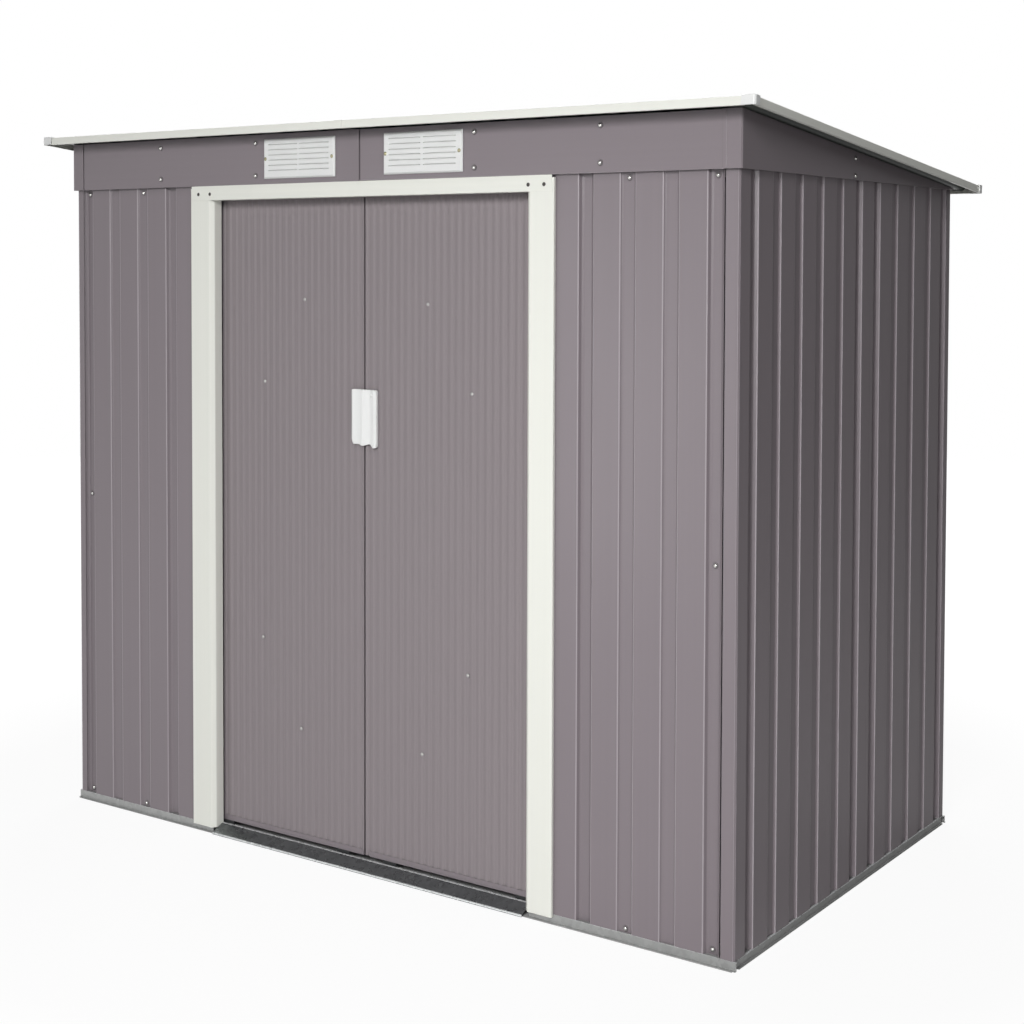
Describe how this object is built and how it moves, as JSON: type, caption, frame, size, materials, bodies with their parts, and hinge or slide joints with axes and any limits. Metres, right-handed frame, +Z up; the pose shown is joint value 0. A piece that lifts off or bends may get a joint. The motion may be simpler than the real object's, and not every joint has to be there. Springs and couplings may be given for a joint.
{
  "type": "metal storage shed",
  "caption": "Lean-to metal garden shed with grooved steel walls, two sliding doors in a pale frame, louvred vents in the fascia and a trimmed roof that falls to the back.",
  "frame": {"origin": "middle of the shed's box, on the ground", "axes": "+Z up, doors face -Y, +X to the right seen from the front"},
  "size_m": [2.132, 1.285, 1.7971],
  "materials": {
    "wall_steel": "taupe coil-coated sheet, satin",
    "roof_steel": "taupe coil-coated sheet, satin",
    "cream_steel": "pale cream paint, satin",
    "galvanised_steel": "hot-dip galvanised, dull",
    "white_plastic": "white moulded plastic",
    "runner_plastic": "grey moulded plastic"
  },
  "bodies": {
    "shell": {"front_base_rails": "galvanised_steel", "rear_base_rail": "galvanised_steel", "right_base_rail": "galvanised_steel", "left_base_rail": "galvanised_steel", "door_sill": "galvanised_steel", "lower_door_track": "galvanised_steel", "front_right_panel": "wall_steel", "front_left_panel": "wall_steel", "right_wall_front_panel": "wall_steel", "right_wall_rear_panel": "wall_steel", "left_wall_front_panel": "wall_steel", "left_wall_rear_panel": "wall_steel", "rear_wall_panel_1": "wall_steel", "rear_wall_panel_2": "wall_steel", "rear_wall_panel_3": "wall_steel", "front_right_post": "wall_steel", "front_left_post": "wall_steel", "rear_right_post": "wall_steel", "rear_left_post": "wall_steel", "right_door_jamb": "cream_steel", "left_door_jamb": "cream_steel", "door_header": "cream_steel", "front_fascia_left": "wall_steel", "front_fascia_right": "wall_steel", "left_vent": "white_plastic", "right_vent": "white_plastic", "right_gable": "wall_steel", "left_gable": "wall_steel", "front_top_rail": "galvanised_steel", "rear_top_rail": "galvanised_steel", "side_top_rails": "galvanised_steel", "mid_rails": "galvanised_steel", "upper_door_track": "galvanised_steel", "roof_beam": "galvanised_steel", "roof_panel_1": "roof_steel", "roof_panel_2": "roof_steel", "roof_panel_3": "roof_steel", "front_roof_trim_left": "cream_steel", "front_roof_trim_right": "cream_steel", "rear_roof_trim": "cream_steel", "right_roof_trim": "cream_steel", "left_roof_trim": "cream_steel", "roof_corner_caps": "white_plastic"},
    "left_leaf": {"left_door": "wall_steel", "left_door_frame": "wall_steel", "left_door_handle": "white_plastic", "left_door_runners": "runner_plastic"},
    "right_leaf": {"right_door": "wall_steel", "right_door_frame": "wall_steel", "right_door_handle": "white_plastic", "right_door_runners": "runner_plastic"}
  },
  "joints": [
    {"name": "left_door_slide", "type": "slide", "parent": "shell", "child": "left_leaf", "axis": [-1, 0, 0], "range_m": [0, 0.41]},
    {"name": "right_door_slide", "type": "slide", "parent": "shell", "child": "right_leaf", "axis": [1, 0, 0], "range_m": [0, 0.41]}
  ]
}
